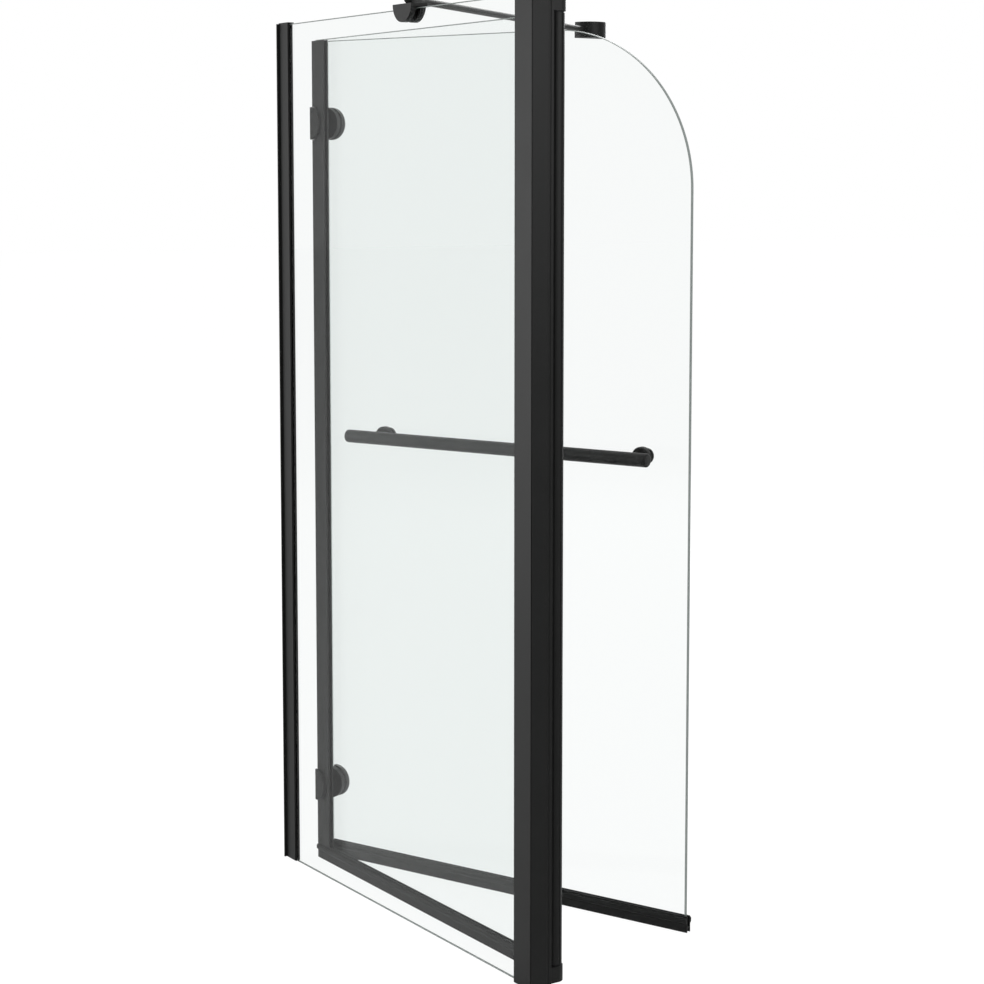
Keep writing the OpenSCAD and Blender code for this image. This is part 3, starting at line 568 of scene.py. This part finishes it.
def carved(bm, cutter):
    """Takes a cutter's shape out of a mesh."""
    made = []
    for part in (bm, cutter):
        bmesh.ops.recalc_face_normals(part, faces=part.faces)
        mesh = bpy.data.meshes.new("carving")
        part.to_mesh(mesh)
        part.free()
        made.append(bpy.data.objects.new("carving", mesh))
        bpy.context.scene.collection.objects.link(made[-1])
    cut = made[0].modifiers.new("cut", "BOOLEAN")
    cut.operation, cut.solver, cut.object = "DIFFERENCE", "EXACT", made[1]
    result = bmesh.new()
    bpy.context.view_layer.update()
    result.from_object(made[0], bpy.context.evaluated_depsgraph_get())
    for part in made:
        mesh = part.data
        bpy.data.objects.remove(part)
        bpy.data.meshes.remove(mesh)
    return result


def drilled(bm, radius, depth, *places):
    """Takes round holes out of a mesh's back, each at an x and z in mm on the wall."""
    drill = bmesh.new()
    for x, z in places:
        on_wall = Matrix.Translation(Vector((x, wall_y, z)) * mm)
        bmesh.ops.create_cone(drill, cap_ends=True, segments=24, radius1=radius * mm,
                              radius2=radius * mm, depth=2 * depth * mm,
                              matrix=on_wall @ Matrix.Rotation(math.pi / 2, 4, "X"))
    return carved(bm, drill)


wall = section(
    (wall_low.x, wall_y), (wall_low.x, foot_y, front_round), (cap_low.x, foot_y),
    (cap_low.x, mouth_y, channel_round), (glazing_left, mouth_y, channel_round),
    (glazing_left, foot_y), (glazing_right, foot_y), (glazing_right, mouth_y, channel_round),
    (cap_high.x, mouth_y, channel_round), (cap_high.x, foot_y), (wall_high.x, foot_y, front_round),
    (wall_high.x, wall_y))
draw_out(wall, wall_low.z, wall_high.z)
wall = drilled(wall, wall_screw_r, 2 * foot_t, *[(side_x, height) for height in wall_screw_heights])
piece("wall_channel", wall, black_coat, "frame", "black_metal", "wall_profile")

cap = section((cap_low.x, mouth_y, cap_corner), (cap_high.x, mouth_y, cap_corner),
              (cap_high.x, wall_y), (cap_low.x, wall_y))
draw_out(cap, cap_low.z, cap_high.z)
ease(cap, rim(cap, cap_high.z), cap_round)
piece("wall_channel_cap", cap, black_coat, "frame", "black_plastic", "wall_profile_cap")

piece("wall_glazing_beads", glazing_beads(glass_high.y, mouth_y - bead_proud), glazing_rubber, "frame",
      "black_rubber", "wall_gaskets")

# Brace. A half-round clamp pinches the side glass's top edge; a swivel on it carries a straight
# rod to a half-round bracket on the front wall. All are die cast or turned, and coated black.
clamp_high = box_mm("brace_clamp")[1]
clamp_y, clamp_top = middle("brace_clamp").y, clamp_high.z
clamp_r, clamp_half = clamp_high.y - clamp_y, clamp_high.x - side_x
cast_round = 0.05
slot_half, slot_top = 4.5, 1294.5
sleeve_back, sleeve_taper, sleeve_end = -7.5, 25, 38
sleeve_r, sleeve_tip_r = 6.5, 5.5
stud_r, stud_low, stud_high = 4.2, 1297.6, 1301.6
rod_z, rod_r = middle("brace_rod").z, 5
rod_start, rod_short = 2.05, 20
rod_round = 0.4
bracket_low, bracket_high = box_mm("brace_wall_bracket")
bracket_x = middle("brace_wall_bracket").x
plate_seat_r, plate_seat_depth = 9.1, 4


def half_disc(x, straight_y, tip_y):
    """A half-round face about x, with its straight side at one y and its round tip at another."""
    radius = abs(tip_y - straight_y)
    return section((x - radius, straight_y), (x - radius, tip_y, radius),
                   (x + radius, tip_y, radius), (x + radius, straight_y))


# Half of the clamp, from its outer face to the middle of the glass, then mirrored
clamp = half_disc(clamp_y, clamp_top, clamp_top - clamp_r)
bmesh.ops.bisect_plane(clamp, geom=clamp.verts[:] + clamp.edges[:] + clamp.faces[:],
                       plane_co=(0, slot_top * mm, 0), plane_no=(0, 1, 0))
far = draw_out(clamp, -clamp_half, -slot_half)
draw_out(clamp, -slot_half, 0, [face for face in far if face.calc_center_median().y > slot_top * mm])
bmesh.ops.recalc_face_normals(clamp, faces=clamp.faces)
ease(clamp, rim(clamp, -clamp_half), cast_round)
bmesh.ops.delete(clamp, geom=[face for face in clamp.faces if abs(face.calc_center_median().z)
                              < level and abs(face.normal.z) > flat_normal], context="FACES")
bmesh.ops.mirror(clamp, geom=clamp.verts[:] + clamp.edges[:] + clamp.faces[:], axis="Z",
                 merge_dist=touch)
piece("brace_clamp_body", clamp, black_coat, "frame", "black_metal", "brace_clamp",
      place=beside_post(side_x))


def turned(*profile, sides=32):
    """A turned shape about x from points of length and radius in mm; a third number rounds."""
    bm = bmesh.new()
    points = [bm.verts.new((corner[0] * mm, corner[1] * mm, 0)) for corner in profile]
    for pair in zip(points, points[1:]):
        bm.edges.new(pair)
    for point, corner in zip(points, profile):
        if len(corner) > 2:
            bmesh.ops.bevel(bm, geom=[point], offset=corner[2] * mm, offset_type="OFFSET",
                            segments=max(3, round(2 * math.sqrt(corner[2]))), profile=0.5,
                            affect="VERTICES", material=-1)
    bmesh.ops.spin(bm, geom=bm.verts[:] + bm.edges[:], cent=(0, 0, 0), axis=(1, 0, 0),
                   angle=2 * math.pi, steps=sides, use_merge=True)
    bmesh.ops.remove_doubles(bm, verts=bm.verts, dist=touch)
    return bm


# Stands a turned shape up, so that its length runs along z
standing = Matrix.Rotation(-math.pi / 2, 4, "Y")
brace_run = Vector((bracket_x - side_x, wall_y - clamp_y))
on_clamp = Matrix.Translation(Vector((side_x, clamp_y, 0)) * mm)
along_brace = (on_clamp @ Matrix.Translation((0, 0, rod_z * mm))
               @ Matrix.Rotation(math.atan2(brace_run.y, brace_run.x), 4, "Z"))

swivel = bmesh.new()
add(swivel, turned((sleeve_back, 0), (sleeve_back, sleeve_r, 2.4), (sleeve_taper, sleeve_r, 1.0),
                   (sleeve_end, sleeve_tip_r, 0.3), (sleeve_end, 0)), along_brace)
add(swivel, turned((stud_low, 0), (stud_low, stud_r, 0.4), (stud_high, stud_r), (stud_high, 0)),
    on_clamp @ standing)
piece("brace_swivel_sleeve", swivel, black_coat, "frame", "black_metal", "brace_swivel")

rod_end = brace_run.length - rod_short
rod = turned((rod_start, 0), (rod_start, rod_r, rod_round), (rod_end, rod_r, rod_round), (rod_end, 0))
piece("brace_round_rod", rod, black_coat, "frame", "black_metal", "brace_rod", place=along_brace)

bracket = half_disc(bracket_x, wall_y, bracket_low.y)
draw_out(bracket, bracket_low.z, bracket_high.z)
ease(bracket, [edge for edge in rim(bracket, bracket_low.z, bracket_high.z)
               if min(point.co.y for point in edge.verts) < wall_y * mm - level], cast_round)
# A steel plate on the wall sits in the bracket's back
bracket = drilled(bracket, plate_seat_r, plate_seat_depth, (bracket_x, rod_z))
piece("brace_bracket_body", bracket, black_coat, "frame", "black_metal", "brace_wall_bracket")

dress(screw_steel, "brace_clamp_screws", "brace_swivel_screw", "brace_bracket_screw", "brace_wall_plate")
dress(glazing_rubber, "brace_clamp_pads")

# Pivot stile. A round-nosed extrusion that turns on the pivot pins in nylon bushes, with a
# glazing channel for the inner leaf's glass and two fine grooves down its nose.
stile_low, stile_high = box_mm("pivot_stile")
stile_reach, stile_half = stile_high.y, 5.5
slot_floor, slot_side = 12, 3.5
nose_r, nose_start, nose_end = 12, 117.3, 422.7
# Each groove's angles on the nose: its first lip, the two ends of its floor and its other lip
left_groove, right_groove = (233, 233.5, 238.5, 239), (280, 281, 287, 288)
groove_depth = 0.8


def on_nose(angle, depth=0):
    """A point of the stile's nose, by its angle from the x axis and its depth under the skin."""
    turn = math.radians(angle)
    radius = nose_r - depth
    return pivot_x + radius * math.cos(turn), radius * math.sin(turn)


def nose_run(start, end, steps):
    """Corner points along the nose between two angles."""
    return [on_nose(start + (end - start) * step / steps) for step in range(steps + 1)]


stile = section(
    (pivot_x - stile_half, stile_reach, front_round), *nose_run(nose_start, left_groove[0], 18),
    *(on_nose(angle, groove_depth) for angle in left_groove[1:3]),
    *nose_run(left_groove[3], right_groove[0], 8),
    *(on_nose(angle, groove_depth) for angle in right_groove[1:3]),
    *nose_run(right_groove[3], nose_end, 20), (pivot_x + stile_half, stile_reach, front_round),
    (pivot_x + slot_side, stile_reach), (pivot_x + slot_side, slot_floor),
    (pivot_x - slot_side, slot_floor), (pivot_x - slot_side, stile_reach))
draw_out(stile, stile_low.z, stile_high.z)
piece("stile_extrusion", stile, black_coat, "inner_leaf", "black_metal", "pivot_stile")

black_nylon = soft_black("black_nylon", (0.012, 0.012, 0.013), (0.018, 0.018, 0.019), rough=0.45)
dress(black_nylon, "top_pivot_bush", "bottom_pivot_bush")
dress(glazing_rubber, "stile_gaskets")

# Inner leaf. One pane of toughened glass from the stile to the fold, with a drip seal pushed
# over its foot and a closing strip of extruded aluminium over its free edge.
fold_x, fold_y = middle("lower_hinge_pin").xy
# A leaf is drawn in its fold frame: u from the hinge pins along the leaf, and n across it
at_inner_fold = Matrix((
    (0, -1, 0, fold_x * mm), (-1, 0, 0, fold_y * mm), (0, 0, 1, 0), (0, 0, 0, 1)))
# Turns a section that is drawn in x and y, and drawn out along z, so that its y stands up
upright = Matrix(((1, 0, 0, 0), (0, 0, 1, 0), (0, 1, 0, 0), (0, 0, 0, 1)))
glass_near = 10
glass_far = glass_near + glass_t
in_leaf = Matrix.Translation((0, glass_near * mm, 0)) @ upright
leaf_low, leaf_high = box_mm("inner_glass")
leaf_foot, leaf_top = leaf_low.z, leaf_high.z
inner_start, inner_end = fold_y - leaf_high.y, fold_y - leaf_low.y

inner_pane = pane((inner_start, leaf_foot), (inner_end, leaf_foot), (inner_end, leaf_top),
                  (inner_start, leaf_top))
glaze("inner_pane", inner_pane, "inner_leaf", "inner_glass", at_inner_fold @ in_leaf)

seal_low, seal_high = box_mm("inner_drip_seal")
seal_half, seal_foot, seal_top = 4.8, seal_low.z, seal_high.z
seal_round, seal_lip, lip_top = 0.5, 1.6, 8
bead_low, bead_high, bead_reach = 16.1, 22.7, 2.6
seal_vinyl = soft_black("seal_vinyl", (0.0055, 0.0058, 0.0056), (0.0085, 0.0090, 0.0087), rough=0.42,
                        stretch=(0.05, 0.05, 1))


def drip_seal(start, end):
    """A drip seal in a fold frame: a grip on the glass, two round beads and two soft lips."""
    grip = seal_half - 0.2
    one_side = [
        (glass_t / 2, leaf_foot), (glass_t / 2, seal_top), (grip, seal_top, seal_round),
        (grip, bead_high + 1), (seal_half + bead_reach, bead_high, 1.9),
        (seal_half + bead_reach - 0.1, bead_low, 1.2), (seal_half, bead_low - 1.4),
        (seal_half, seal_foot, seal_round), (seal_half - seal_lip, seal_foot, seal_round),
        (seal_half - seal_lip - 1, lip_top, seal_round)]
    other_side = [(-corner[0], *corner[1:]) for corner in reversed(one_side)]
    bm = section(*one_side, *other_side)
    draw_out(bm, start, end)
    along_leaf = Matrix(((0, 0, 1, 0), (1, 0, 0, (glass_near + glass_far) / 2 * mm), (0, 1, 0, 0),
                         (0, 0, 0, 1)))
    bmesh.ops.transform(bm, matrix=along_leaf, verts=bm.verts)
    return bm


piece("inner_foot_seal", drip_seal(fold_y - seal_high.y, fold_y - seal_low.y), seal_vinyl,
      "inner_leaf", "black_rubber", "inner_drip_seal", place=at_inner_fold)

strip_low, strip_high = box_mm("inner_closing_strip")
strip_start, strip_end = fold_y - strip_high.y, fold_y - strip_low.y
strip_near, strip_far = fold_x - strip_high.x, fold_x - strip_low.x
strip_round, strip_lip = 1, 0.4
plate_gap, plate_flat, plate_r = 3, 2, 24.5
notch_start, notch_gap = -1, 0.3
hinge_heights = [middle(which + "_outer_hinge_cover").z for which in ("lower", "upper")]


def half_round(near, far, cut=plate_gap, radius=plate_r, start=plate_gap):
    """A half-round plate, drawn in u and z, from one depth n to another, cut straight at a u."""
    tip = plate_gap + plate_flat + radius
    bm = section((start, -radius), (tip, -radius, radius), (tip, radius, radius), (start, radius))
    if cut > start:
        bmesh.ops.bisect_plane(bm, geom=bm.verts[:] + bm.edges[:] + bm.faces[:], clear_inner=True,
                               plane_co=(cut * mm, 0, 0), plane_no=(1, 0, 0))
    draw_out(bm, near, far)
    return bm


strip = section((strip_end, strip_near, strip_lip), (strip_start, strip_near, strip_round),
                (strip_start, strip_far, strip_round), (strip_end, strip_far, strip_lip),
                (strip_end, glass_far), (inner_start, glass_far), (inner_start, glass_near),
                (strip_end, glass_near))
draw_out(strip, strip_low.z, strip_high.z)
# Each hinge's plates sit in a notch through the whole strip
notches = bmesh.new()
for z in hinge_heights:
    notch = half_round(-strip_far, 2 * strip_far, notch_start, plate_r + notch_gap, notch_start)
    add(notches, notch, Matrix.Translation((0, 0, z * mm)) @ upright)
# A lighter copy of the same black powder coat for the leaves' parts behind the side glass: painted light,
# not a different paint
leaf_coat_painted_lighter = coated_metal(
    "leaf_powder_coat_painted_lighter", (0.0195, 0.0203, 0.0198), (0.0245, 0.0253, 0.0248), rough=0.42)
piece("closing_strip", carved(strip, notches), leaf_coat_painted_lighter, "inner_leaf", "black_metal",
      "inner_closing_strip", place=at_inner_fold)

# Fold hinges. Two pairs of half-round cast plates pinch each leaf's glass through rubber pads;
# the fold-side plates carry the knuckles, and their screws run into the blind cover plates.
fold_angle = 21.6
at_outer_fold = Matrix.Translation(Vector((fold_x, fold_y, 0)) * mm) @ Matrix.Rotation(
    math.radians(fold_angle - 90), 4, "Z")
plate_near, plate_far, plate_cut, plate_edge = 2.5, 9, 7.5, 1.4
cover_near, cover_far, cover_edge = 17, 24, 2.0
pin_hole_r, barrel_r = 2.55, 5.5
web_end, web_far = 10.5, 8.5
ear_start, ear_end, tongue_half = 8.3, 23.0, 8
screw_u, screw_z = 16.5, 11
screw_recess_r, screw_recess_depth = 4.55, 3.0
screw_cap_r, screw_cap_face = 4.5, 2.88


def knuckle(low, high):
    """The barrel about the pin and the web to its plate, in a fold frame."""
    bm = bmesh.new()
    add(bm, turned((low, pin_hole_r), (low, barrel_r, 0.5), (high, barrel_r, 0.5), (high, pin_hole_r),
                   (low, pin_hole_r)), standing)
    # The web leaves the barrel at 45 degrees, just under its skin
    side = barrel_r * math.cos(math.radians(45))
    web = section((side - 0.4, 0.4 - side), (web_end, plate_near), (web_end, web_far),
                  (plate_cut, web_far), (0.6 - side, side - 0.2), (1.9, 1.9))
    draw_out(web, low + 0.3, high - 0.3)
    add(bm, web)
    return bm


def hinge_plate(ears):
    """A fold-side plate with capped screw recesses and its ears or its middle knuckle."""
    bm = half_round(plate_near, plate_far, plate_cut)
    ease(bm, rim(bm, plate_near), plate_edge)
    recesses = [(screw_u, -screw_z), (screw_u, screw_z)]
    bored(bm, plate_near, recesses, screw_recess_r, screw_recess_depth)
    for u, z in recesses:
        cap = turned((plate_near, 0), (plate_near, screw_cap_r, 0.15), (screw_cap_face, screw_cap_r),
                     (screw_cap_face, 0))
        add(bm, cap, Matrix.Translation((u * mm, z * mm, 0)) @ standing)
    bmesh.ops.transform(bm, matrix=upright, verts=bm.verts)
    spans = [(ear_start, ear_end), (-ear_end, -ear_start)] if ears else [(-tongue_half, tongue_half)]
    for low, high in spans:
        add(bm, knuckle(low, high))
    return bm


def hinge_cover():
    """A plain cover plate for a leaf's other face."""
    bm = half_round(cover_near, cover_far)
    ease(bm, rim(bm, cover_far), cover_edge)
    bmesh.ops.transform(bm, matrix=upright, verts=bm.verts)
    return bm


for leaf, fold in (("inner", at_inner_fold), ("outer", at_outer_fold)):
    for which, z in zip(("lower", "upper"), hinge_heights):
        hinge_place = fold @ Matrix.Translation((0, 0, z * mm))
        piece(f"{which}_{leaf}_knuckle_plate", hinge_plate(ears=leaf == "inner"), leaf_coat_painted_lighter,
              leaf + "_leaf", "black_metal", f"{which}_{leaf}_hinge_plate", place=hinge_place)
        piece(f"{which}_{leaf}_cover_plate", hinge_cover(), leaf_coat_painted_lighter,
              leaf + "_leaf", "black_metal", f"{which}_{leaf}_hinge_cover", place=hinge_place)

dress(screw_steel, "inner_hinge_screws", "outer_hinge_screws", "upper_hinge_pin", "lower_hinge_pin")
dress(black_nylon, "hinge_bushes")
dress(glazing_rubber, "inner_hinge_pads", "outer_hinge_pads")

# Outer leaf. The same glass with one large round corner at its free top, and a drip seal that
# runs a little past the free edge. Its edge at the fold, which lies in shade, is painted near white:
# painted light.
outer_start, outer_end = 2, 644
top_corner_r = 225
seal_end = 648

outer_pane = pane((outer_start, leaf_foot), (outer_end, leaf_foot), (outer_end, leaf_top, top_corner_r),
                  (outer_start, leaf_top))
# The outer pane's fold-side edge lies in shade; it is painted opaque near white, a painted light in place
# of that shade
fold_edge_painted_light = ground_edge("glass_fold_edge_painted_light", (0.82, 0.86, 0.84), (0.88, 0.91, 0.90), clear=0)
for face in outer_pane.faces:
    if face.normal.x < -0.5:
        face.material_index = 2
glaze("outer_pane", outer_pane, "outer_leaf", "outer_glass", at_outer_fold @ in_leaf, fold_edge_painted_light)

piece("outer_foot_seal", drip_seal(outer_start, seal_end), seal_vinyl, "outer_leaf", "black_rubber",
      "outer_drip_seal", place=at_outer_fold)

# Towel rail. A straight tube with pressed end caps on two turned posts, clamped through the
# outer leaf's glass by studs and back discs with rubber washers.
rail_low, rail_high = box_mm("towel_rail")
rail_r, rail_bore_r = (rail_high.z - rail_low.z) / 2, 8.5
rail_n, rail_z = -29, middle("towel_rail").z
rail_start, rail_end = 72, 601
plug_r, plug_end = 8.4, 17
post_places = (116, 570)
stem_r, stem_near = 6, -24
flange_r, flange_near, flange_far = 14, -1, 9
disc_r, disc_near, disc_far = 11.5, 17, 21
on_rail = at_outer_fold @ Matrix.Translation((0, rail_n * mm, rail_z * mm))

# An end cap is as long as the tube's radius, and the tube runs between the two
tube_start, tube_end = rail_start + rail_r, rail_end - rail_r
rail = turned((tube_start, rail_bore_r), (tube_start, rail_r), (tube_end, rail_r), (tube_end, rail_bore_r),
              (tube_start, rail_bore_r))
piece("rail_tube", rail, black_coat, "outer_leaf", "black_metal", "towel_rail", place=on_rail)

caps = bmesh.new()
for end, way in ((rail_start, 1), (rail_end, -1)):
    add(caps, turned((0, 0), (0, rail_r, 2.5), (rail_r, rail_r), (rail_r, plug_r), (plug_end, plug_r),
                     (plug_end, 0)),
        Matrix.Translation((end * mm, 0, 0)) @ Matrix.Scale(way, 4, (1, 0, 0)))
piece("rail_end_caps", caps, black_coat, "outer_leaf", "black_metal", "towel_rail_end_caps",
      place=on_rail)

posts = bmesh.new()
discs = bmesh.new()
for u in post_places:
    across_leaf = Matrix.Translation((u * mm, 0, rail_z * mm)) @ Matrix.Rotation(math.pi / 2, 4, "Z")
    add(posts, turned((stem_near, 0), (stem_near, stem_r), (flange_near, stem_r),
                      (flange_near, flange_r, 2.4), (flange_far, flange_r, 0.5), (flange_far, 0)),
        across_leaf)
    add(discs, turned((disc_near, 0), (disc_near, disc_r), (disc_far, disc_r, 1.4), (disc_far, 0)),
        across_leaf)
piece("rail_posts", posts, black_coat, "outer_leaf", "black_metal", "towel_rail_posts",
      place=at_outer_fold)
piece("rail_back_discs", discs, black_coat, "outer_leaf", "black_metal", "towel_rail_back_discs",
      place=at_outer_fold)

dress(screw_steel, "towel_rail_screws")
dress(glazing_rubber, "towel_rail_washers")
